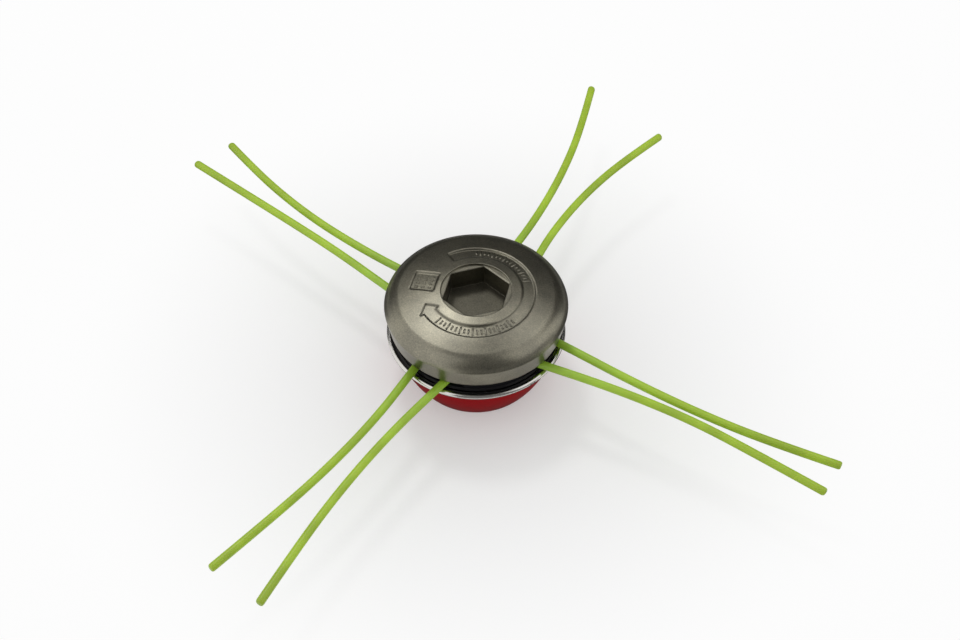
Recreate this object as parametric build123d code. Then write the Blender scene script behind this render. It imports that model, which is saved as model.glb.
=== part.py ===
from build123d import *
from math import acos, cos, hypot, pi, radians, sin, tan
import os

# Fixed line trimmer head, in millimetres. Z points from the gearbox towards the dome, and the origin is the
# middle of the gearbox face. Four lines are looped round four posts, so that eight ends leave in four pairs.

# Hub
hub_height = 25.7
hub_foot_radius = 30.7
hub_rim_inset = 2.9
hub_bulge = 1.4
hub_wall = 3.2
hub_deck = 5.0
hub_boss_radius = 13.5
hub_boss_low = 6.0
hub_rib_low = 9.0
hub_rib_width = 2.4
hub_rib_count = 8
hub_foot_edge = 1.2
hub_rim_edge = 0.8

# Arbor, tapped M10x1.25 left-hand for the gearbox and threaded M16x1.5 for the dome
stud_bore_radius = 4.325
stud_bore_depth = 20.0
sleeve_radius = 9.0
flange_across_flats = 27.0
flange_thickness = 4.0
flange_pocket_depth = 3.0
spigot_radius = 7.35
spigot_length = 12.3
arbor_chamfer = 0.8

# Washers and retaining ring on the arbor
thrust_washer_thickness = 1.0
thrust_washer_radius = 13.0
circlip_thickness = 1.0
circlip_groove_depth = 0.8
circlip_band = 2.4
circlip_lug_radius = 2.2
circlip_lug_hole = 0.9
circlip_gap_angle = 44.0
lock_washer_thickness = 2.5
lock_washer_band = 4.4
lock_washer_gap = 1.6

# Wear ring
ring_radius = 44.0
ring_thickness = 1.5
ring_slope_width = 8.0
ring_lip_radius = 1.35
ring_lip_rise = 1.2

# Line guide
lip_gap = 1.5
guide_floor = 2.8
guide_edge_rise = 1.2
guide_step = 0.6
post_height = 7.0
post_corner_radius = 18.2
post_mouth_radius = 3.0
post_edge = 0.5
trough_half_width = 12.6
line_slot = 5.7

# Screws through the posts and their inserts in the hub
screw_count = 4
screw_radius = 1.85
screw_length = 16.0
screw_head_radius = 3.8
screw_head_height = 2.6
screw_key = 2.5
screw_key_depth = 1.4
counterbore_depth = 3.2
insert_radius = 3.0
insert_length = 8.0
insert_boss_radius = 5.4
insert_boss_floor = 3.7

# Dome
dome_radius = 44.6
rim_wall = 3.0
dome_band_height = 10.9
shoulder_radius = 9.0
shoulder_low_angle = 14.0
crown_angle = 12.0
dome_wall = 4.2
side_wall = 8.1
seat_width = 2.7
cavity_corner = 6.0
core_radius = 21.0
core_drop = 1.6
dome_boss_radius = 14.6
dome_rib_count = 8
dome_rib_width = 3.0
dome_rib_room = 2.0
crease_edge = 0.6
band_edge = 0.9
spigot_bore_spare = 1.5

# Hexagonal key socket and the marks sunk into the crown
socket_across_flats = 28.8
socket_depth = 13.0
socket_angle = 48.5
socket_mouth_radius = 17.1
socket_mouth_depth = 1.0
socket_edge = 0.35
mark_depth = 0.8
arrow_inner_radius = 22.3
arrow_outer_radius = 28.5
arrow_tail_angle = 151.0
arrow_barb_angle = 241.8
arrow_tip_angle = 230.0
arrow_barb_width = 10.5
block_angle = 196.8
block_middle_radius = 25.7
block_along = 11.8
block_across = 11.6

# Nylon line
line_diameter = 4.0
line_play = 0.3
line_bend_radius = 20.0

# Clearances
turning_gap = 0.15
thread_gap = 0.3
press_gap = 0.02
screw_gap = 0.35
head_gap = 0.4
seat_gap = 0.4

# Radii that follow the wear ring: guide inside its lip, posts on the guide, screws in the middle of the posts
hub_rim_radius = ring_radius - hub_rim_inset
ring_flat_radius = ring_radius - ring_slope_width
guide_radius = ring_radius - 2 * ring_lip_radius - lip_gap
post_radius = guide_radius - guide_step
post_side = (post_radius**2 - trough_half_width**2) ** 0.5 - trough_half_width
mouth_reach = post_mouth_radius / tan(acos(trough_half_width / post_radius) / 2)
corner_radius = min(post_corner_radius, post_side - mouth_reach - 2 * post_edge)
post_nose_radius = (trough_half_width + corner_radius) * 2**0.5 - corner_radius
screw_circle_radius = (post_nose_radius + post_radius) / 2
dome_edge_radius = post_radius + seat_gap + rim_wall
cavity_radius = min(post_radius - seat_width, dome_radius - side_wall)

# Levels, from the gearbox face upwards
ring_top = hub_height + ring_thickness
guide_level = ring_top + guide_floor
post_top = guide_level + post_height
dome_edge_level = guide_level + line_slot
line_level = guide_level + line_play + line_diameter / 2
flange_low = hub_height - flange_pocket_depth
flange_top = flange_low + flange_thickness
dome_boss_low = flange_top + lock_washer_thickness
washer_low = hub_boss_low - thrust_washer_thickness
deck_low = hub_height - hub_deck
insert_boss_low = hub_height - insert_length - insert_boss_floor
dome_rib_low = post_top + dome_rib_room
flange_corner_radius = flange_across_flats / 2 / cos(radians(30))

# Dome section, from the crease upwards
crease_level = dome_edge_level + dome_band_height
core_low = crease_level - core_drop
shoulder_middle = dome_radius - shoulder_radius * cos(radians(shoulder_low_angle))
shoulder_level = crease_level - shoulder_radius * sin(radians(shoulder_low_angle))
crown_edge = shoulder_middle + shoulder_radius * sin(radians(crown_angle))
crown_edge_level = shoulder_level + shoulder_radius * cos(radians(crown_angle))
crown_radius = crown_edge / sin(radians(crown_angle))
dome_top = crown_edge_level + crown_radius * (1 - cos(radians(crown_angle)))


def crown_level(radius):
    return dome_top - crown_radius + (crown_radius**2 - radius**2) ** 0.5


def hub_radius(level):
    share = level / hub_height
    straight = hub_foot_radius + (hub_rim_radius - hub_foot_radius) * share
    return straight + 4 * hub_bulge * share * (1 - share)


def turned(outline):
    return revolve(Plane.XZ * make_face(outline), Axis.Z)


def disc(radius, low, high):
    return Pos(0, 0, (low + high) / 2) * Cylinder(radius, high - low)


def tube(outer, inner, low, high):
    return disc(outer, low, high) - disc(inner, low - 1, high + 1)


def hexagon(across_flats, low, high, angle=0.0):
    outline = RegularPolygon(across_flats / 2, 6, major_radius=False)
    return Pos(0, 0, low) * Rot(0, 0, angle) * extrude(outline, high - low)


def circles(solid, radius, level):
    """The circular edges of a turned solid at this radius and level."""
    found = solid.edges().filter_by(GeomType.CIRCLE)
    found = found.filter_by(lambda e: abs(e.radius - radius) < 0.01)
    return found.filter_by(lambda e: abs(e.arc_center.Z - level) < 0.01)


def screw_places():
    for k in range(screw_count):
        yield Rot(0, 0, 45 + 360 * k / screw_count) * Pos(screw_circle_radius, 0, 0)


def radial_ribs(count, width, inner, outer, low, high):
    rib = Pos((inner + outer) / 2, 0, (low + high) / 2) * Box(outer - inner, width, high - low)
    return [Rot(0, 0, 360 * k / count) * rib for k in range(count)]


def make_hub():
    side = ThreePointArc(
        (hub_foot_radius, 0), (hub_radius(hub_height / 2), hub_height / 2), (hub_rim_radius, hub_height)
    )
    body = turned(side + Polyline((hub_rim_radius, hub_height), (0, hub_height), (0, 0), (hub_foot_radius, 0)))
    body = fillet(circles(body, hub_foot_radius, 0), hub_foot_edge)
    body = fillet(circles(body, hub_rim_radius, hub_height), hub_rim_edge)

    inside = ThreePointArc(
        (hub_radius(0) - hub_wall, 0),
        (hub_radius(deck_low / 2) - hub_wall, deck_low / 2),
        (hub_radius(deck_low) - hub_wall, deck_low),
    )
    recess = turned(inside + Polyline(inside @ 1, (0, deck_low), (0, 0), inside @ 0))
    recess -= disc(hub_boss_radius, hub_boss_low, hub_height)
    for rib in radial_ribs(hub_rib_count, hub_rib_width, 0, hub_rim_radius, hub_rib_low, hub_height):
        recess -= rib
    for place in screw_places():
        recess -= place * disc(insert_boss_radius, insert_boss_low, hub_height)
    body -= recess

    body -= disc(sleeve_radius + turning_gap, -1, hub_height + 1)
    body -= hexagon(flange_across_flats + 2 * turning_gap, flange_low, hub_height + 1)
    for place in screw_places():
        body -= place * disc(insert_radius + press_gap, hub_height - insert_length, hub_height + 1)
        body -= place * disc(screw_radius + screw_gap, screw_end_level() - 1, hub_height)
    return body


def screw_seat_level():
    return post_top - counterbore_depth


def screw_end_level():
    return screw_seat_level() - screw_length


def make_arbor():
    spigot_top = flange_top + spigot_length
    body = disc(sleeve_radius, 0, flange_low)
    body = chamfer(circles(body, sleeve_radius, 0), arbor_chamfer)
    body += hexagon(flange_across_flats, flange_low, flange_top)
    spigot = disc(spigot_radius, flange_low + 1, spigot_top)
    body += chamfer(circles(spigot, spigot_radius, spigot_top), arbor_chamfer)
    groove_low = washer_low - circlip_thickness - turning_gap
    body -= tube(sleeve_radius + 1, sleeve_radius - circlip_groove_depth, groove_low, washer_low)
    body -= disc(stud_bore_radius, -1, stud_bore_depth)
    drill_point = Cone(stud_bore_radius, 0, stud_bore_radius * tan(radians(31)))
    body -= Pos(0, 0, stud_bore_depth + stud_bore_radius * tan(radians(31)) / 2) * drill_point
    return body


def make_thrust_washer():
    return tube(thrust_washer_radius, sleeve_radius + turning_gap, washer_low, hub_boss_low)


def make_circlip():
    inner = sleeve_radius - circlip_groove_depth + turning_gap
    outer = inner + circlip_band
    low = washer_low - circlip_thickness
    body = tube(outer, inner, low, washer_low)
    half = circlip_gap_angle / 2
    reach = 2 * outer
    wedge = Polyline(
        (0, 0), (reach, -reach * tan(radians(half))), (reach, reach * tan(radians(half))), close=True
    )
    body -= Pos(0, 0, low - 1) * extrude(make_face(wedge), circlip_thickness + 2)
    lug_radius = inner + circlip_lug_radius
    for side in (-1, 1):
        place = Rot(0, 0, side * half) * Pos(lug_radius, side * circlip_lug_radius / 2, 0)
        body += place * disc(circlip_lug_radius, low, washer_low)
        body -= place * disc(circlip_lug_hole, low - 1, washer_low + 1)
    return body


def make_lock_washer():
    inner = spigot_radius + thread_gap
    body = tube(inner + lock_washer_band, inner, flange_top, dome_boss_low)
    slot = Box(lock_washer_gap, 3 * lock_washer_band, 3 * lock_washer_thickness)
    middle = (flange_top + dome_boss_low) / 2
    slot = Pos(0, inner + lock_washer_band, middle) * Rot(0, 30, 0) * slot
    return body - slot


def make_wear_ring():
    inner = flange_corner_radius + head_gap
    lip_middle = ring_radius - ring_lip_radius
    plate = Polyline(
        (inner, hub_height),
        (ring_flat_radius, hub_height),
        (lip_middle, hub_height + ring_lip_rise),
        (lip_middle, ring_top + ring_lip_rise),
        (ring_flat_radius, ring_top),
        (inner, ring_top),
        close=True,
    )
    lip_level = (hub_height + ring_top) / 2 + ring_lip_rise
    body = turned(plate) + revolve(Plane.XZ * Pos(lip_middle, lip_level) * Circle(ring_lip_radius), Axis.Z)
    for place in screw_places():
        body -= place * disc(screw_radius + screw_gap, 0, post_top)
    return body


def make_post():
    """One quarter post: the line lies round its inner corner and leaves past its rounded mouths."""
    quarter = Pos(trough_half_width + post_radius / 2, trough_half_width + post_radius / 2)
    outline = (Circle(post_radius) & quarter * Rectangle(post_radius, post_radius)).faces()[0]
    corner = outline.vertices().sort_by(lambda v: hypot(v.X, v.Y))
    outline = fillet(corner[0], corner_radius)
    mouths = outline.vertices().filter_by(lambda v: hypot(v.X, v.Y) > post_radius - 0.01)
    outline = fillet(mouths, post_mouth_radius)
    post = Pos(0, 0, guide_level) * extrude(outline, post_height)
    return chamfer(post.faces().sort_by(Axis.Z)[-1].edges(), post_edge)


def make_line_guide():
    inner = dome_boss_radius + seat_gap
    base = Polyline(
        (inner, ring_top),
        (ring_flat_radius, ring_top),
        (guide_radius, ring_top + guide_edge_rise),
        (guide_radius, guide_level),
        (inner, guide_level),
        close=True,
    )
    body = turned(base)
    body = fillet(circles(body, guide_radius, guide_level), post_edge)
    post = make_post()
    for k in range(screw_count):
        body += Rot(0, 0, 360 * k / screw_count) * post
    for place in screw_places():
        body -= place * disc(screw_radius + screw_gap, 0, post_top)
        body -= place * disc(screw_head_radius + head_gap, screw_seat_level(), post_top + 1)
    return body


def make_screw(place):
    seat = screw_seat_level()
    top = seat + screw_head_height
    head = disc(screw_head_radius, seat, top)
    head = fillet(circles(head, screw_head_radius, top), screw_head_height / 2)
    shank = disc(screw_radius, screw_end_level(), seat + 1)
    body = head + chamfer(circles(shank, screw_radius, screw_end_level()), screw_radius / 4)
    return place * (body - hexagon(screw_key, top - screw_key_depth, top + 1))


def make_insert(place):
    bore = screw_radius + turning_gap
    return place * tube(insert_radius, bore, hub_height - insert_length, hub_height)


def dome_blank(sunk=0.0):
    """The dome's full outer form, or the same form with its top sunk by this much."""
    low_angle = radians(shoulder_low_angle)
    half_angle = radians((shoulder_low_angle + 90 - crown_angle) / 2)
    shoulder = ThreePointArc(
        (shoulder_middle + shoulder_radius * cos(low_angle), crease_level - sunk),
        (
            shoulder_middle + shoulder_radius * cos(half_angle),
            shoulder_level + shoulder_radius * sin(half_angle) - sunk,
        ),
        (crown_edge, crown_edge_level - sunk),
    )
    crown = ThreePointArc(
        (crown_edge, crown_edge_level - sunk),
        (crown_edge / 2, crown_level(crown_edge / 2) - sunk),
        (0, dome_top - sunk),
    )
    band = Polyline(
        (0, dome_top - sunk),
        (0, dome_edge_level),
        (dome_edge_radius, dome_edge_level),
        (dome_radius, crease_level - sunk),
    )
    return turned(shoulder + crown + band)


def dome_cavity():
    seat_radius = post_radius + seat_gap
    high = crown_level(core_radius) - dome_wall
    low = crown_level(cavity_radius) - dome_wall
    outline = Polyline(
        (dome_boss_radius, dome_edge_level - 1),
        (seat_radius, dome_edge_level - 1),
        (seat_radius, post_top),
        (cavity_radius, post_top),
        (cavity_radius, low),
        (core_radius, high),
        (core_radius, core_low),
        (dome_boss_radius, core_low - core_radius + dome_boss_radius),
        close=True,
    )
    cavity = turned(outline)
    cavity = fillet(circles(cavity, cavity_radius, low), cavity_corner)
    for rib in radial_ribs(dome_rib_count, dome_rib_width, 0, dome_radius, dome_rib_low, dome_top):
        cavity -= rib
    return cavity


def arrow_outline():
    reach = 2 * dome_radius
    gap = Polyline(
        (0, 0),
        *[
            (reach * cos(radians(a)), reach * sin(radians(a)))
            for a in (arrow_tail_angle, (arrow_tail_angle + arrow_barb_angle) / 2, arrow_barb_angle)
        ],
        close=True,
    )
    band = Circle(arrow_outer_radius) - Circle(arrow_inner_radius) - make_face(gap)
    middle = (arrow_inner_radius + arrow_outer_radius) / 2
    barb, tip = radians(arrow_barb_angle), radians(arrow_tip_angle)
    inner, outer = middle - arrow_barb_width / 2, middle + arrow_barb_width / 2
    head = Polyline(
        (inner * cos(barb), inner * sin(barb)),
        (outer * cos(barb), outer * sin(barb)),
        (middle * cos(tip), middle * sin(tip)),
        close=True,
    )
    return band + make_face(head)


def make_dome():
    body = dome_blank()
    body = fillet(circles(body, dome_radius, crease_level), crease_edge)
    body = fillet(circles(body, dome_edge_radius, dome_edge_level), band_edge)
    body -= dome_cavity()
    body += disc(dome_boss_radius, dome_boss_low, core_low)
    bore_top = flange_top + spigot_length + spigot_bore_spare
    body -= disc(spigot_radius + thread_gap, dome_boss_low - 1, bore_top)

    socket_floor = dome_top - socket_depth
    body -= hexagon(socket_across_flats, socket_floor, dome_top + 1, socket_angle)
    ledge_level = crown_level(socket_mouth_radius) - socket_mouth_depth
    body -= disc(socket_mouth_radius, ledge_level, dome_top + 1)
    ledge = body.edges().filter_by(GeomType.LINE).filter_by(lambda e: abs(e.center().Z - ledge_level) < 0.01)
    body = chamfer(ledge, socket_edge)

    block = Rot(0, 0, block_angle) * Pos(block_middle_radius, 0) * Rectangle(block_along, block_across)
    marks = extrude(arrow_outline(), 2 * dome_top) + extrude(block, 2 * dome_top)
    return body - (marks - dome_blank(mark_depth))


# Each line's route in plan, tip to tip, hand chosen: two free ends and the bend round one post between them
line_routes = {
    "line_1": [
        (187.1, 14.8), (153.5, 9.9), (118.1, 7.5), (81.3, 7.8), (45.0, 10.0), (11.0, 11.0),
        (2.0, 57.9), (0.4, 85.8), (2.0, 113.2), (6.7, 140.2), (13.8, 166.6),
    ],
    "line_2": [
        (-37.1, 181.3), (-25.6, 148.6), (-17.6, 117.2), (-12.7, 87.4), (-10.2, 57.0), (-10.6, 10.6),
        (-47.0, 9.6), (-76.0, 11.3), (-106.0, 15.1), (-134.0, 21.5), (-158.0, 29.2), (-179.8, 37.5),
    ],
    "line_3": [
        (-186.5, 16.3), (-153.0, 12.1), (-119.0, 7.8), (-84.0, 2.9), (-49.0, -4.0), (-11.0, -11.0),
        (-9.4, -44.0), (-8.3, -76.0), (-10.9, -112.0), (-16.4, -147.0), (-22.9, -181.2),
    ],
    "line_4": [
        (5.6, -184.1), (2.5, -150.6), (1.0, -116.0), (2.2, -80.0), (6.4, -44.0), (10.9, -10.9),
        (45.0, -5.2), (80.5, -0.2), (117.0, 2.2), (152.6, 0.2), (187.1, -2.5),
    ],
}


def route_radii(points):
    """The arc at each inner point: the post's own bend at the sharp turn, and as large as the runs allow elsewhere."""
    radii = []
    for before, at, after in zip(points, points[1:], points[2:]):
        into, out = at - before, after - at
        turn = into.get_angle(out)
        widest = 0.45 * min(into.length, out.length) / tan(radians(turn / 2))
        radii.append(line_bend_radius if turn > 60 else widest)
    return radii


def make_line(name):
    points = [Vector(x, y, line_level) for x, y in line_routes[name]]
    radii = route_radii(points)
    route = FilletPolyline(*points, radius=radii)
    section = Plane(origin=route @ 0, z_dir=route % 0) * Circle(line_diameter / 2)
    solid = sweep(section, path=route)
    expected = route.length * pi * (line_diameter / 2) ** 2
    print(name, "length", round(route.length, 1), "volume over section times length",
          round(solid.volume / expected, 4), "radii", [round(r) for r in radii])
    return solid


def make_parts():
    parts = {
        "dome_cover": make_dome(),
        "line_guide": make_line_guide(),
        "wear_ring": make_wear_ring(),
        "hub_body": make_hub(),
        "arbor": make_arbor(),
        "thrust_washer": make_thrust_washer(),
        "arbor_circlip": make_circlip(),
        "lock_washer": make_lock_washer(),
    }
    for number, place in enumerate(screw_places(), 1):
        parts[f"guide_screw_{number}"] = make_screw(place)
        parts[f"screw_insert_{number}"] = make_insert(place)
    for name in line_routes:
        parts[name] = make_line(name)
    return parts


os.makedirs("parts", exist_ok=True)
for name, shape in make_parts().items():
    export_step(shape, f"parts/{name}.step")
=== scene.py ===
import bpy
from math import cos, hypot, pi, radians, sin
from mathutils import Matrix, Vector


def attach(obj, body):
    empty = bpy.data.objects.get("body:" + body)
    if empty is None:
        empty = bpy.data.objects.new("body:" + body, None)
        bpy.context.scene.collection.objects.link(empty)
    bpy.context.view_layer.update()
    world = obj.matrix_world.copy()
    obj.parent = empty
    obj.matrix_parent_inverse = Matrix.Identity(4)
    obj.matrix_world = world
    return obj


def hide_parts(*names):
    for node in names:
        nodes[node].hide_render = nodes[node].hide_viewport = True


# Fixed line trimmer head: a cast dome over a black guide, a polished ring and a red hub, and four looped lines.
# Metres, Z up from the gearbox face. Angles are in degrees and the widths of patterns in millimetres.

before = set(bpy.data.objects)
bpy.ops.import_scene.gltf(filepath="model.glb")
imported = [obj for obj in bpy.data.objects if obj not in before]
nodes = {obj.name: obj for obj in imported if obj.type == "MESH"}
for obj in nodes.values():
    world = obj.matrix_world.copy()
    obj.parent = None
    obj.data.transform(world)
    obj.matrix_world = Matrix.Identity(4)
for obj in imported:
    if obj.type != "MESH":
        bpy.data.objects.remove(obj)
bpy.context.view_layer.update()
up = Vector((0, 0, 1))
print("frame loaded,", len(nodes), "nodes")


def linear(hexText):  # sRGB hex to Blender's linear colour
    parts = [int(hexText[i:i + 2], 16) / 255 for i in (1, 3, 5)]
    return [p / 12.92 if p <= 0.04045 else ((p + 0.055) / 1.055) ** 2.4 for p in parts] + [1.0]


def scaleFor(width):  # the scale of a pattern whose features are this many millimetres wide
    return 1000 / width


def spot(azimuth, elevation, distance):  # a place round the head: azimuth 0 is -Y, and 90 is +X
    a, e = radians(azimuth), radians(elevation)
    return Vector((sin(a) * cos(e), -cos(a) * cos(e), sin(e))) * distance


def between(ends, share):
    return ends[0] + (ends[1] - ends[0]) * share


# Adds a node with its settings, its sockets' own values, its links and, for a ramp, its stops
def addNode(tree, kind, values=None, links=None, stops=(), **settings):
    item = tree.nodes.new(kind)
    for key, value in settings.items():
        setattr(item, key, value)
    for key, value in (values or {}).items():
        item.inputs[key].default_value = value
    for key, source in (links or {}).items():
        tree.links.new(source, item.inputs[key])
    for k, (position, colour) in enumerate(stops):
        elements = item.color_ramp.elements
        element = elements[k] if k < len(elements) else elements.new(position)
        element.position, element.color = position, colour
    return item


def newMaterial(name, surface):  # surface holds the shader's own values; place is the Object coordinates
    material = bpy.data.materials.new(name)
    material.use_nodes = True
    tree = material.node_tree
    shader = tree.nodes["Principled BSDF"]
    for key, value in surface.items():
        shader.inputs[key].default_value = value
    place = addNode(tree, "ShaderNodeTexCoord").outputs["Object"]
    return material, tree, shader, place


def dress(material, *pieces):  # a piece keeps its shape and gets this finish
    for piece in pieces:
        piece.data.materials.clear()
        piece.data.materials.append(material)


def newObject(name, data):
    item = bpy.data.objects.new(name, data)
    bpy.context.scene.collection.objects.link(item)
    return item


def selectOnly(*pieces):
    bpy.ops.object.select_all(action="DESELECT")
    for piece in pieces:
        piece.select_set(True)
    bpy.context.view_layer.objects.active = pieces[0]


def addMesh(operator, **settings):  # a new primitive, with nothing else selected
    bpy.ops.object.select_all(action="DESELECT")
    operator(**settings)
    return bpy.context.object


def editWhole(piece, operator, **settings):  # one edit mode step on the whole mesh
    selectOnly(piece)
    bpy.ops.object.mode_set(mode="EDIT")
    bpy.ops.mesh.select_all(action="SELECT")
    operator(**settings)
    bpy.ops.object.mode_set(mode="OBJECT")


# Camera at the photograph's angle, with lens and sensor in millimetres
cameraSet = {"azimuth": 32.0, "elevation": 48.95, "distance": 0.810, "targetLevel": 0.0347,
             "lens": 62.1, "sensor": 36, "shiftX": 0.0040, "shiftY": -0.0007, "near": 0.05, "far": 20}


def makeCamera():
    data = bpy.data.cameras.new("photoCamera")
    data.lens, data.sensor_width = cameraSet["lens"], cameraSet["sensor"]
    data.shift_x, data.shift_y = cameraSet["shiftX"], cameraSet["shiftY"]
    data.clip_start, data.clip_end = cameraSet["near"], cameraSet["far"]
    camera = newObject("photoCamera", data)
    camera.location = up * cameraSet["targetLevel"] + spot(
        cameraSet["azimuth"], cameraSet["elevation"], cameraSet["distance"])
    camera.rotation_euler = (pi / 2 - radians(cameraSet["elevation"]), 0, radians(cameraSet["azimuth"]))
    bpy.context.scene.camera = camera


makeCamera()
print("camera placed")


# The four lines: each is one cut length looped round a post, shown as its two free ends
lineSet = {
    "diameter": 0.004, "level": 0.0323, "mouthRadius": 0.0398,
    "routeSteps": 14, "ringSides": 20, "smoothAngle": 40,
    "tipRound": 0.0012, "tipSlant": 0.08,
    "tipRings": ((0.45, 0.93), (0.12, 0.78), (0.0, 0.56)),  # shares of tipRound and of the radius
    "tones": ((0.0, "#a2bc31"), (0.012, "#a5c131"), (0.6, "#a9c932"), (1.0, "#98c23a")),  # from the tip inwards
    "toneReach": 0.16, "cloudWidth": 16.7, "cloudTones": (0.86, 1.06)}
lineRoutes = {
    "line_1": {"ends": ("East", "North"), "route": [
        (0.1871, 0.0148), (0.1535, 0.0099), (0.1181, 0.0075), (0.0813, 0.0078), (0.0450, 0.0100),
        (0.0110, 0.0110), (0.0020, 0.0579), (0.0004, 0.0858), (0.0020, 0.1132), (0.0067, 0.1402),
        (0.0138, 0.1666)]},
    "line_2": {"ends": ("North", "West"), "route": [
        (-0.0371, 0.1813), (-0.0256, 0.1486), (-0.0176, 0.1172), (-0.0127, 0.0874), (-0.0102, 0.0570),
        (-0.0106, 0.0106), (-0.0470, 0.0096), (-0.0760, 0.0113), (-0.1060, 0.0151), (-0.1340, 0.0215),
        (-0.1580, 0.0292), (-0.1798, 0.0375)]},
    "line_3": {"ends": ("West", "South"), "route": [
        (-0.1865, 0.0163), (-0.1530, 0.0121), (-0.1190, 0.0078), (-0.0840, 0.0029), (-0.0490, -0.0040),
        (-0.0110, -0.0110), (-0.0094, -0.0440), (-0.0083, -0.0760), (-0.0109, -0.1120), (-0.0164, -0.1470),
        (-0.0229, -0.1812)]},
    "line_4": {"ends": ("South", "East"), "route": [
        (0.0056, -0.1841), (0.0025, -0.1506), (0.0010, -0.1160), (0.0022, -0.0800), (0.0064, -0.0440),
        (0.0109, -0.0109), (0.0450, -0.0052), (0.0805, -0.0002), (0.1170, 0.0022), (0.1526, 0.0002),
        (0.1871, -0.0025)]},
}


def readRoute(points):  # a smooth NURBS line with these control points, read back as points
    curve = bpy.data.curves.new("route", "CURVE")
    curve.dimensions = "3D"
    spline = curve.splines.new("NURBS")
    spline.points.add(len(points) - 1)
    for slot, (x, y) in zip(spline.points, points):
        slot.co = (x, y, lineSet["level"], 1)
    spline.order_u = 3
    spline.use_endpoint_u = True
    spline.resolution_u = lineSet["routeSteps"]
    carrier = newObject("route", curve)
    mesh = bpy.data.meshes.new_from_object(carrier)
    path = [v.co.copy() for v in mesh.vertices]
    bpy.data.objects.remove(carrier)
    bpy.data.meshes.remove(mesh)
    return path


def pathLength(path):
    return sum((b - a).length for a, b in zip(path, path[1:]))


def tubeMesh(name, path, radius):  # path runs from inside the head to the cut tip
    sides, last = lineSet["ringSides"], len(path) - 1
    rings, toTip = [], pathLength(path)
    for k, point in enumerate(path):
        ahead = (path[min(k + 1, last)] - path[max(k - 1, 0)]).normalized()
        toTip -= (point - path[k - 1]).length if k else 0.0
        rings.append((point, ahead, radius, toTip))
    rings[last] = (point - ahead * lineSet["tipRound"], ahead, radius, 0.0)
    for back, share in lineSet["tipRings"]:  # the end is rounded over by smaller rings
        rings.append((point - ahead * lineSet["tipRound"] * back, ahead, radius * share, 0.0))
    verts, fromTip = [], []
    for k, (middle, ahead, size, distance) in enumerate(rings):
        side = up.cross(ahead).normalized()
        slant = lineSet["tipSlant"] if k >= last else 0.0  # the cut isn't quite square
        for j in range(sides):
            turn = 2 * pi * j / sides
            verts.append(middle + (side * cos(turn) + up * sin(turn) + ahead * slant * cos(turn)) * size)
            fromTip.append(distance)
    faces = [list(range(sides))[::-1], [len(verts) - sides + j for j in range(sides)]]
    for k in range(len(rings) - 1):
        here, there = k * sides, (k + 1) * sides
        for j in range(sides):
            after = (j + 1) % sides
            faces.append([here + j, here + after, there + after, there + j])
    mesh = bpy.data.meshes.new(name)
    mesh.from_pydata(verts, [], faces)
    mesh.attributes.new("fromTip", "FLOAT", "POINT").data.foreach_set("value", fromTip)
    tube = newObject(name, mesh)
    editWhole(tube, bpy.ops.mesh.normals_make_consistent, inside=False)
    bpy.ops.object.shade_smooth_by_angle(angle=radians(lineSet["smoothAngle"]))
    return tube


def nylonLine():
    # Extruded nylon 6 monofilament, dyed lime: glossy, waxy and a little see-through, so its edges look deeper
    material, tree, shader, place = newMaterial("extrudedNylonMonofilament", {
        "Roughness": 0.42, "IOR": 1.53, "Subsurface Weight": 0.35, "Subsurface Scale": 0.002,
        "Subsurface Radius": (0.6, 1.0, 0.25), "Coat Weight": 0.06, "Coat Roughness": 0.3})
    tip = addNode(tree, "ShaderNodeAttribute", attribute_name="fromTip")
    reach = addNode(tree, "ShaderNodeMapRange", {"From Max": lineSet["toneReach"]},
                    {"Value": tip.outputs["Fac"]})
    tone = addNode(tree, "ShaderNodeValToRGB", links={"Fac": reach.outputs["Result"]},
                   stops=[(at, linear(colour)) for at, colour in lineSet["tones"]])
    cloud = addNode(tree, "ShaderNodeTexNoise", {"Scale": scaleFor(lineSet["cloudWidth"]), "Detail": 2.0},
                    {"Vector": place})
    low, high = lineSet["cloudTones"]
    fade = addNode(tree, "ShaderNodeValToRGB", links={"Fac": cloud.outputs["Fac"]},
                   stops=((0.35, (low, low, low, 1)), (0.65, (high, high, high, 1))))
    blend = addNode(tree, "ShaderNodeMix", {"Factor": 1.0},
                    {"A": tone.outputs["Color"], "B": fade.outputs["Color"]},
                    data_type="RGBA", blend_type="MULTIPLY")
    tree.links.new(blend.outputs["Result"], shader.inputs["Base Color"])
    return material


def makeLines():
    finish = nylonLine()
    for node, line in lineRoutes.items():
        path = readRoute(line["route"])
        # Each line is shown as two halves, from the point of its loop nearest the axis to either tip
        middle = min(range(len(path)), key=lambda k: hypot(path[k].x, path[k].y))
        for end, half in zip(line["ends"], (path[:middle + 1][::-1], path[middle:])):
            name = node.replace("_", "") + end
            tube = tubeMesh(name, half, lineSet["diameter"] / 2)
            dress(finish, tube)
            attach(tube, "root")
            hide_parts(node)


makeLines()
print("lines made")


# Plain raised ticks in the sunken band and square of the crown, which is part of a sphere
crownSet = {"top": 0.0571925, "radius": 0.181512, "sunk": 0.0008}
tickSet = {"width": 0.001, "foot": 0.0003, "height": 0.00033, "draft": 0.75, "edge": 0.00012, "edgeSteps": 2,
           "bandRadius": 0.0254, "long": 0.0042, "short": 0.0026, "longEach": 3, "step": 4.6,
           "stretches": ((257.0, 20), (48.0, 17)),  # where each starts and how many ticks it has
           "squareAngle": 196.8, "squareRadius": 0.0257, "squareRows": (-0.0032, 0.0, 0.0032),
           "squareColumns": (-0.0036, -0.0012, 0.0012, 0.0036), "squareLength": 0.0019, "smoothAngle": 35}


def crownLevel(distance):
    return crownSet["top"] - crownSet["radius"] + (crownSet["radius"] ** 2 - distance ** 2) ** 0.5


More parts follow.
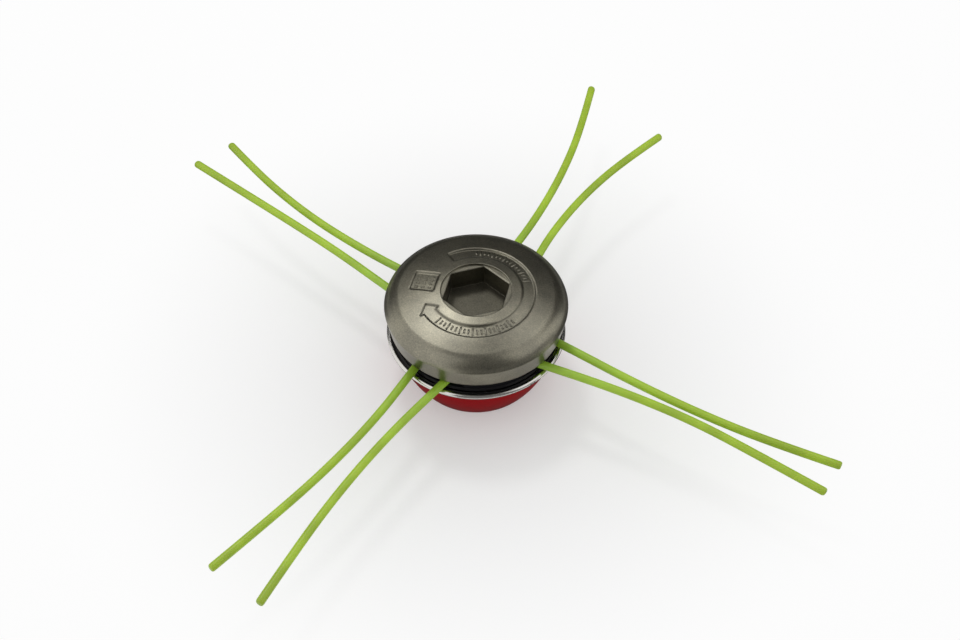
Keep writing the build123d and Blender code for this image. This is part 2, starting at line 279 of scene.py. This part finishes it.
def makeTick(length):  # one bar along X, drafted like a casting, its foot a little below the floor it stands on
    tick = addMesh(bpy.ops.mesh.primitive_cube_add, size=1)
    editWhole(tick, bpy.ops.transform.resize,
              value=(length, tickSet["width"], tickSet["foot"] + tickSet["height"]))
    bpy.ops.object.mode_set(mode="EDIT")
    bpy.ops.mesh.select_all(action="DESELECT")
    bpy.ops.object.mode_set(mode="OBJECT")
    for face in tick.data.polygons:
        face.select = face.normal.z > 0.9  # the top one
    bpy.ops.object.mode_set(mode="EDIT")
    bpy.ops.transform.resize(
        value=(1 - (1 - tickSet["draft"]) * tickSet["width"] / length, tickSet["draft"], 1))
    bpy.ops.mesh.bevel(offset=tickSet["edge"], segments=tickSet["edgeSteps"], affect="EDGES")
    bpy.ops.object.mode_set(mode="OBJECT")
    for v in tick.data.vertices:
        v.co.z += (tickSet["height"] - tickSet["foot"]) / 2
    return tick


def makeTicks():
    long, short, dash = (makeTick(tickSet[key]) for key in ("long", "short", "squareLength"))
    places = []
    for start, count in tickSet["stretches"]:
        for k in range(count):
            turn = Matrix.Rotation(radians(start + tickSet["step"] * k), 4, "Z")
            source = long if k % tickSet["longEach"] == 0 else short
            places.append((source, turn @ Matrix.Translation((tickSet["bandRadius"], 0, 0))))
    middle = Matrix.Rotation(radians(tickSet["squareAngle"]), 4, "Z") @ Matrix.Translation(
        (tickSet["squareRadius"], 0, 0))
    for x in tickSet["squareRows"]:
        for y in tickSet["squareColumns"]:
            places.append((dash, middle @ Matrix.Translation((x, y, 0))))
    copies = []
    for source, matrix in places:
        mesh = source.data.copy()
        mesh.transform(matrix)
        for v in mesh.vertices:  # each corner goes down to the sunken floor below it
            v.co.z += crownLevel(hypot(v.co.x, v.co.y)) - crownSet["sunk"]
        copies.append(newObject("tick", mesh))
    for source in (long, short, dash):
        bpy.data.objects.remove(source)
    selectOnly(*copies)
    bpy.ops.object.join()
    ticks = bpy.context.object
    ticks.name = "crownTicks"
    bpy.ops.object.shade_smooth_by_angle(angle=radians(tickSet["smoothAngle"]))
    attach(ticks, "root")
    return ticks


crownTicks = makeTicks()
print("ticks made,", len(crownTicks.data.polygons), "faces")


# The arbor with its tapped bore: a left-hand M10x1.25 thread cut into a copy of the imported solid
threadSet = {"pitch": 0.00125, "minor": 0.004325, "major": 0.005, "depth": 0.0175, "steps": 40,
             "crestShare": 0.125, "rootShare": 0.75, "overlap": 0.0003,
             "leadIn": 0.0055, "leadDrop": 0.0001, "leadSides": 64, "weld": 0.000001, "smoothAngle": 30}


def makeThreadCutter():  # a four-cornered section that the Screw modifier winds up the bore
    cutter = addMesh(bpy.ops.mesh.primitive_circle_add, vertices=4, radius=threadSet["minor"])
    pitch = threadSet["pitch"]
    wide, narrow = pitch * threadSet["rootShare"] / 2, pitch * threadSet["crestShare"] / 2
    inner = threadSet["minor"] - threadSet["overlap"]
    corners = ((inner, -wide), (threadSet["major"], -narrow), (threadSet["major"], narrow), (inner, wide))
    for v, (x, z) in zip(cutter.data.vertices, corners):
        v.co = (x, 0, z - pitch)
    coil = cutter.modifiers.new("coil", "SCREW")
    coil.axis, coil.angle, coil.screw_offset = "Z", -2 * pi, pitch
    coil.iterations = int(threadSet["depth"] / pitch) + 1
    coil.steps = coil.render_steps = threadSet["steps"]
    bpy.ops.object.modifier_apply(modifier="coil")
    editWhole(cutter, bpy.ops.mesh.fill_holes, sides=4)
    editWhole(cutter, bpy.ops.mesh.normals_make_consistent, inside=False)
    return cutter


def cutAway(piece, cutter):
    selectOnly(piece)
    cut = piece.modifiers.new("cut", "BOOLEAN")
    cut.operation, cut.solver, cut.object = "DIFFERENCE", "EXACT", cutter
    bpy.ops.object.modifier_apply(modifier="cut")
    bpy.data.objects.remove(cutter)


def makeArbor():
    arbor = nodes["arbor"].copy()
    arbor.data = nodes["arbor"].data.copy()
    arbor.name = "arborTapped"
    bpy.context.scene.collection.objects.link(arbor)
    editWhole(arbor, bpy.ops.mesh.remove_doubles, threshold=threadSet["weld"])
    cutAway(arbor, makeThreadCutter())
    cone = addMesh(bpy.ops.mesh.primitive_cone_add, vertices=threadSet["leadSides"],
                   radius1=threadSet["leadIn"], radius2=0, depth=threadSet["leadIn"])
    for v in cone.data.vertices:  # it stands a little below the face and chamfers the bore's entry
        v.co.z += threadSet["leadIn"] / 2 - threadSet["leadDrop"]
    cutAway(arbor, cone)
    selectOnly(arbor)
    bpy.ops.object.shade_smooth_by_angle(angle=radians(threadSet["smoothAngle"]))
    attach(arbor, "root")
    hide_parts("arbor")
    return arbor


arborTapped = makeArbor()
print("arbor tapped,", len(arborTapped.data.polygons), "faces")


# Finishes of the hard pieces
domeSet = {
    "deep": "#7e7b6f", "light": "#949080", "cloudWidth": 18.2,
    "sandWidth": 0.667, "sandDepth": 0.00012,  # drawn coarser than real blasting, so that it shows
    "sandTones": ((0.3, (0.78, 0.78, 0.78, 1)), (0.5, (1, 1, 1, 1)), (0.7, (1.3, 1.28, 1.24, 1))),
    # Painted shade: a dark colour mixed in where ambient occlusion finds hollows, and evenly over the key
    # socket's floor
    "rough": (0.25, 0.39), "shadeColour": "#1d1b15", "shadeReach": 0.014, "shadeLeast": 0.55,
    "rubbed": "#bcb8aa", "rubbedReach": 0.0006, "rubbedMost": 0.2,
    "mouthRound": 0.0005, "markRound": 0.0015, "roundRadius": (0.0174, 0.0186),
    "floorLevel": (0.0465, 0.0485), "floorRadius": (0.0165, 0.0172), "floorShade": 0.52, "floorRough": 0.5}


def castAluminium():
    # Die-cast aluminium, shot blasted and lacquered: satin, warm dark grey, with a sandy grain that sparkles,
    # marks with soft cast lips, edges rubbed lighter, and painted shade darkening its hollows and the key
    # socket's floor
    material, tree, shader, place = newMaterial("blastedCastAluminium", {
        "Metallic": 1.0, "Diffuse Roughness": 0.3})
    cloud = addNode(tree, "ShaderNodeTexNoise",
                    {"Scale": scaleFor(domeSet["cloudWidth"]), "Detail": 5.0, "Roughness": 0.6},
                    {"Vector": place})
    tone = addNode(tree, "ShaderNodeValToRGB", links={"Fac": cloud.outputs["Fac"]},
                   stops=((0.32, linear(domeSet["deep"])), (0.68, linear(domeSet["light"]))))
    speck = addNode(tree, "ShaderNodeTexNoise",
                    {"Scale": scaleFor(domeSet["sandWidth"]), "Detail": 3.0, "Roughness": 0.7},
                    {"Vector": place})
    sand = addNode(tree, "ShaderNodeValToRGB", links={"Fac": speck.outputs["Fac"]}, stops=domeSet["sandTones"])
    grained = addNode(tree, "ShaderNodeMix", {"Factor": 1.0},
                      {"A": tone.outputs["Color"], "B": sand.outputs["Color"]},
                      data_type="RGBA", blend_type="MULTIPLY")
    # The key socket's floor, by its level and its distance from the axis
    flat = addNode(tree, "ShaderNodeVectorMath", {1: (1, 1, 0)}, {0: place}, operation="MULTIPLY")
    fromAxis = addNode(tree, "ShaderNodeVectorMath", links={0: flat.outputs["Vector"]}, operation="LENGTH")
    level = addNode(tree, "ShaderNodeSeparateXYZ", links={"Vector": place})
    low, high = domeSet["floorLevel"]
    above = addNode(tree, "ShaderNodeMapRange", {"From Min": low, "From Max": high},
                    {"Value": level.outputs["Z"]})
    low, high = domeSet["floorRadius"]
    outside = addNode(tree, "ShaderNodeMapRange", {"From Min": low, "From Max": high},
                      {"Value": fromAxis.outputs["Value"]})
    clear = addNode(tree, "ShaderNodeMath", links={0: above.outputs["Result"], 1: outside.outputs["Result"]},
                    operation="MAXIMUM")
    # Painted shade: darker where ambient occlusion finds little room for light, and evenly darker over that
    # floor
    deep = addNode(tree, "ShaderNodeAmbientOcclusion", {"Distance": domeSet["shadeReach"]}, samples=8)
    litShare = addNode(tree, "ShaderNodeMapRange",
                   {"From Min": 0.25, "From Max": 0.95, "To Min": domeSet["shadeLeast"]},
                   {"Value": deep.outputs["AO"]})
    shade = addNode(tree, "ShaderNodeMix", {"A": domeSet["floorShade"]},
                    {"Factor": clear.outputs["Value"], "B": litShare.outputs["Result"]})
    shadePainted = addNode(tree, "ShaderNodeMix", {"A": linear(domeSet["shadeColour"])},
                     {"Factor": shade.outputs["Result"], "B": grained.outputs["Result"]}, data_type="RGBA")
    # Edges rubbed lighter
    edge = addNode(tree, "ShaderNodeAmbientOcclusion", {"Distance": domeSet["rubbedReach"]}, samples=8,
                   inside=True)
    rubbed = addNode(tree, "ShaderNodeMapRange",
                     {"From Min": 0.5, "From Max": 0.2, "To Max": domeSet["rubbedMost"]},
                     {"Value": edge.outputs["AO"]})
    worn = addNode(tree, "ShaderNodeMix", {"B": linear(domeSet["rubbed"])},
                   {"Factor": rubbed.outputs["Result"], "A": shadePainted.outputs["Result"]}, data_type="RGBA")
    tree.links.new(worn.outputs["Result"], shader.inputs["Base Color"])
    low, high = domeSet["rough"]
    gloss = addNode(tree, "ShaderNodeMapRange", {"To Min": low, "To Max": high},
                    {"Value": speck.outputs["Fac"]})
    dulled = addNode(tree, "ShaderNodeMix", {"A": domeSet["floorRough"]},
                     {"Factor": clear.outputs["Value"], "B": gloss.outputs["Result"]})
    tree.links.new(dulled.outputs["Result"], shader.inputs["Roughness"])
    # The marks' lips are rounder than the key mouth's
    low, high = domeSet["roundRadius"]
    soft = addNode(tree, "ShaderNodeMapRange", {"From Min": low, "From Max": high,
                   "To Min": domeSet["mouthRound"], "To Max": domeSet["markRound"]},
                   {"Value": fromAxis.outputs["Value"]})
    rounded = addNode(tree, "ShaderNodeBevel", links={"Radius": soft.outputs["Result"]}, samples=8)
    bump = addNode(tree, "ShaderNodeBump", {"Strength": 0.3, "Distance": domeSet["sandDepth"]},
                   {"Height": speck.outputs["Fac"], "Normal": rounded.outputs["Normal"]})
    tree.links.new(bump.outputs["Normal"], shader.inputs["Normal"])
    return material


guideSet = {"colour": "#0f0e12", "grainWidth": 0.714, "grainDepth": 0.0001}  # grain drawn coarse enough to show


def mouldedNylon():
    # Glass-filled nylon, moulded: matt black with a faint grey bloom
    material, tree, shader, place = newMaterial("glassFilledNylon", {
        "Base Color": linear(guideSet["colour"]), "Roughness": 0.55, "IOR": 1.53, "Specular IOR Level": 0.3})
    grain = addNode(tree, "ShaderNodeTexNoise", {"Scale": scaleFor(guideSet["grainWidth"]), "Detail": 2.0},
                    {"Vector": place})
    bump = addNode(tree, "ShaderNodeBump", {"Strength": 0.3, "Distance": guideSet["grainDepth"]},
                   {"Height": grain.outputs["Fac"]})
    tree.links.new(bump.outputs["Normal"], shader.inputs["Normal"])
    return material


ringSet = {"colour": "#d8d5d0", "rough": (0.11, 0.19), "markStep": 2.618}  # wheel marks drawn coarse, to show


def polishedSteel():
    # Stainless steel sheet, pressed and buffed: a near mirror with faint rings from the wheel
    material, tree, shader, place = newMaterial("buffedStainlessSteel", {
        "Base Color": linear(ringSet["colour"]), "Metallic": 1.0})
    # A wave texture of scale 1 has a ring every pi / 10
    rings = addNode(tree, "ShaderNodeTexWave",
                    {"Scale": scaleFor(ringSet["markStep"]) * pi / 10, "Distortion": 0.4, "Detail": 2.0},
                    {"Vector": place}, wave_type="RINGS", rings_direction="Z")
    low, high = ringSet["rough"]
    gloss = addNode(tree, "ShaderNodeMapRange", {"To Min": low, "To Max": high},
                    {"Value": rings.outputs["Fac"]})
    tree.links.new(gloss.outputs["Result"], shader.inputs["Roughness"])
    return material


hubSet = {"colour": "#99060e", "peelWidth": 3.85, "peelDepth": 0.0002}


def redNylon():
    # Nylon moulded in a polished tool: deep red with a soft sheen and a slight orange peel
    material, tree, shader, place = newMaterial("glossyMouldedNylon", {
        "Base Color": linear(hubSet["colour"]), "Roughness": 0.3, "IOR": 1.53, "Specular IOR Level": 0.15})
    peel = addNode(tree, "ShaderNodeTexNoise", {"Scale": scaleFor(hubSet["peelWidth"]), "Detail": 1.0},
                   {"Vector": place})
    bump = addNode(tree, "ShaderNodeBump", {"Strength": 0.12, "Distance": hubSet["peelDepth"]},
                   {"Height": peel.outputs["Fac"]})
    tree.links.new(bump.outputs["Normal"], shader.inputs["Normal"])
    return material


platedSet = {"blue": "#a9b0b4", "warm": "#c4c2b8", "rough": 0.3, "cloudWidth": 3.33}


def zincSteel():
    # Turned steel, zinc plated and passivated: bright, clouded between slightly blue and slightly warm
    material, tree, shader, place = newMaterial("zincPlatedSteel", {
        "Metallic": 1.0, "Roughness": platedSet["rough"]})
    cloud = addNode(tree, "ShaderNodeTexNoise", {"Scale": scaleFor(platedSet["cloudWidth"]), "Detail": 3.0},
                    {"Vector": place})
    tone = addNode(tree, "ShaderNodeValToRGB", links={"Fac": cloud.outputs["Fac"]},
                   stops=((0.35, linear(platedSet["blue"])), (0.65, linear(platedSet["warm"]))))
    tree.links.new(tone.outputs["Color"], shader.inputs["Base Color"])
    return material


hiddenMetals = {
    # Hardened spring steel, oil blackened: dark, with a low and uneven sheen
    "blackenedSpringSteel": {"colour": "#3c3d42", "rough": (0.35, 0.5), "blotchWidth": 2.0, "detail": 3.0},
    # Free-cutting brass, turned: warm yellow, glossier in patches
    "turnedBrass": {"colour": "#c8a04a", "rough": (0.22, 0.36), "blotchWidth": 2.5, "detail": 2.0},
}


def blotchedMetal(name):  # for the springs and inserts inside the head
    values = hiddenMetals[name]
    material, tree, shader, place = newMaterial(name, {"Base Color": linear(values["colour"]), "Metallic": 1.0})
    cloud = addNode(tree, "ShaderNodeTexNoise",
                    {"Scale": scaleFor(values["blotchWidth"]), "Detail": values["detail"]}, {"Vector": place})
    low, high = values["rough"]
    gloss = addNode(tree, "ShaderNodeMapRange", {"To Min": low, "To Max": high},
                    {"Value": cloud.outputs["Fac"]})
    tree.links.new(gloss.outputs["Result"], shader.inputs["Roughness"])
    return material


dress(castAluminium(), nodes["dome_cover"], crownTicks)
dress(mouldedNylon(), nodes["line_guide"])
dress(polishedSteel(), nodes["wear_ring"])
dress(redNylon(), nodes["hub_body"])
dress(zincSteel(), nodes["arbor"], arborTapped, nodes["thrust_washer"],
      *[nodes[f"guide_screw_{k}"] for k in (1, 2, 3, 4)])
dress(blotchedMetal("blackenedSpringSteel"), nodes["arbor_circlip"], nodes["lock_washer"])
dress(blotchedMetal("turnedBrass"), *[nodes[f"screw_insert_{k}"] for k in (1, 2, 3, 4)])
print("finishes given")


# Floor, lamps and surroundings
stageSet = {"floorSize": 6.0, "floor": "#f4f4f4", "around": 0.75,
            "shadeNear": 0.045, "shadeFar": 0.21, "glowNear": 0.3, "glowFar": 0.9}
lampSet = {  # azimuth and elevation seen from the head, distance, size and power
    "softboxKey": (-128, 60, 1.5, 0.32, 3.3),
    "softboxRight": (182, 60, 1.6, 0.5, 0.7),
}
cardSet = {  # curved upright cards that only reflections see: azimuths, elevations, distance and grey
    "cardFront": ((7, 77), (1, 62), 0.60, 0.18),
    "cardFrontRight": ((72, 127), (1, 22), 0.62, 0.35),
    "cardBackRight": ((147, 216), (1, 54), 0.70, 0.045),
    "cardBackLeft": ((214, 264), (1, 50), 0.70, 0.045),
    "cardLeftLow": ((262, 277), (1, 30), 0.70, 0.2),
}
cardTop = {"azimuth": 45, "elevations": (55, 130), "halfWidth": 0.15, "distance": 0.60, "grey": 0.12}
# Painted shade: a dark mat under the head that only reflections see, in place of the floor's shadow there
paintedShadeMat = {"reach": 0.052, "sides": 64, "height": 0.0004, "grey": 0.08}
sheetSet = {  # dark sheets on the floor, mirrored by the dome's low edges: azimuths, reaches, height and grey
    "sheetBehind": ((112, 284), (0.075, 0.5), 0.0004, 0.12),
    "sheetFront": ((14, 96), (0.088, 0.5), 0.0004, 0.2),
}


def backgroundRays(tree):  # 1 for what sees the background as it is: the camera, mirrors and glass
    rays = addNode(tree, "ShaderNodeLightPath").outputs
    seen = addNode(tree, "ShaderNodeMath", links={0: rays["Is Camera Ray"], 1: rays["Is Glossy Ray"]},
                   operation="MAXIMUM")
    seenAll = addNode(tree, "ShaderNodeMath", links={0: seen.outputs[0], 1: rays["Is Transmission Ray"]},
                      operation="MAXIMUM")
    return seenAll.outputs[0]


def makeFloor():  # it keeps a soft shadow near the head and fades to white further out
    floor = addMesh(bpy.ops.mesh.primitive_plane_add, size=stageSet["floorSize"])
    floor.name = "paleFloor"
    material, tree, shader, place = newMaterial("paleFloorPaint", {
        "Base Color": linear(stageSet["floor"]), "Roughness": 0.9})
    away = addNode(tree, "ShaderNodeVectorMath", links={0: place}, operation="LENGTH")
    fade = addNode(tree, "ShaderNodeMapRange", {
        "From Min": stageSet["shadeNear"], "From Max": stageSet["shadeFar"],
        "To Min": stageSet["glowNear"], "To Max": stageSet["glowFar"]}, {"Value": away.outputs["Value"]},
        interpolation_type="SMOOTHSTEP")
    share = addNode(tree, "ShaderNodeMath", links={0: backgroundRays(tree), 1: fade.outputs["Result"]},
                    operation="MULTIPLY")
    glow = addNode(tree, "ShaderNodeEmission")
    mixed = addNode(tree, "ShaderNodeMixShader",
                    links={"Fac": share.outputs[0], 1: shader.outputs[0], 2: glow.outputs[0]})
    tree.links.new(mixed.outputs[0], tree.nodes["Material Output"].inputs["Surface"])
    dress(material, floor)


def makeLamp(name, azimuth, elevation, distance, size, power):
    data = bpy.data.lights.new(name, "AREA")
    data.shape, data.size, data.energy = "DISK", size, power
    lamp = newObject(name, data)
    lamp.location = spot(azimuth, elevation, distance)
    lamp.rotation_euler = spot(azimuth, elevation, 1).to_track_quat("Z", "Y").to_euler()


def finishCard(card, grey):
    material = newMaterial("studioCard", {
        "Base Color": linear("#000000"), "Specular IOR Level": 0.0,
        "Emission Color": (grey, grey, grey, 1), "Emission Strength": 1.0})[0]
    dress(material, card)
    card.visible_camera = card.visible_diffuse = card.visible_shadow = False


def makeGrid(name, columns, rows, goTo, grey):  # a card whose points go where goTo says, with x and y 0 to 1
    card = addMesh(bpy.ops.mesh.primitive_grid_add, x_subdivisions=columns, y_subdivisions=rows, size=1)
    card.name = name
    for v in card.data.vertices:
        v.co = goTo(v.co.x + 0.5, v.co.y + 0.5)
    finishCard(card, grey)


def makeCard(name, azimuths, elevations, distance, grey):
    makeGrid(name, 12, 8, lambda x, y: spot(between(azimuths, x), between(elevations, y), distance), grey)


def makeTopCard():  # a strip that carries the front card on over the head
    a = radians(cardTop["azimuth"])
    across = Vector((cos(a), sin(a), 0)) * cardTop["halfWidth"]
    makeGrid("cardTop", 4, 10, lambda x, y: across * (2 * x - 1) + spot(
        cardTop["azimuth"], between(cardTop["elevations"], y), cardTop["distance"]), cardTop["grey"])


def makeSheet(name, azimuths, reaches, height, grey):
    makeGrid(name, 24, 2, lambda x, y: up * height + spot(between(azimuths, x), 0, between(reaches, y)), grey)


# Painted shade: the mat stands in, for reflections only, for the shadow on the floor under the head
def makeShadeMat():  # a dark mat under the head, which the hub and the ring mirror
    card = addMesh(bpy.ops.mesh.primitive_circle_add, vertices=paintedShadeMat["sides"], radius=paintedShadeMat["reach"],
                   fill_type="NGON")
    card.name = "paintedShadeMat"
    for v in card.data.vertices:
        v.co.z = paintedShadeMat["height"]
    finishCard(card, paintedShadeMat["grey"])


def makeWorld():
    world = bpy.data.worlds.new("studio")
    bpy.context.scene.world = world
    world.use_nodes = True
    tree = world.node_tree
    sky = tree.nodes["Background"]
    sky.inputs["Color"].default_value = linear("#ffffff")
    level = addNode(tree, "ShaderNodeMapRange", {"To Min": stageSet["around"]}, {"Value": backgroundRays(tree)})
    tree.links.new(level.outputs["Result"], sky.inputs["Strength"])


makeFloor()
for name, values in lampSet.items():
    makeLamp(name, *values)
for name, values in cardSet.items():
    makeCard(name, *values)
makeTopCard()
makeShadeMat()
for name, values in sheetSet.items():
    makeSheet(name, *values)
makeWorld()
bpy.context.scene.view_settings.view_transform = "Standard"
print("stage set")
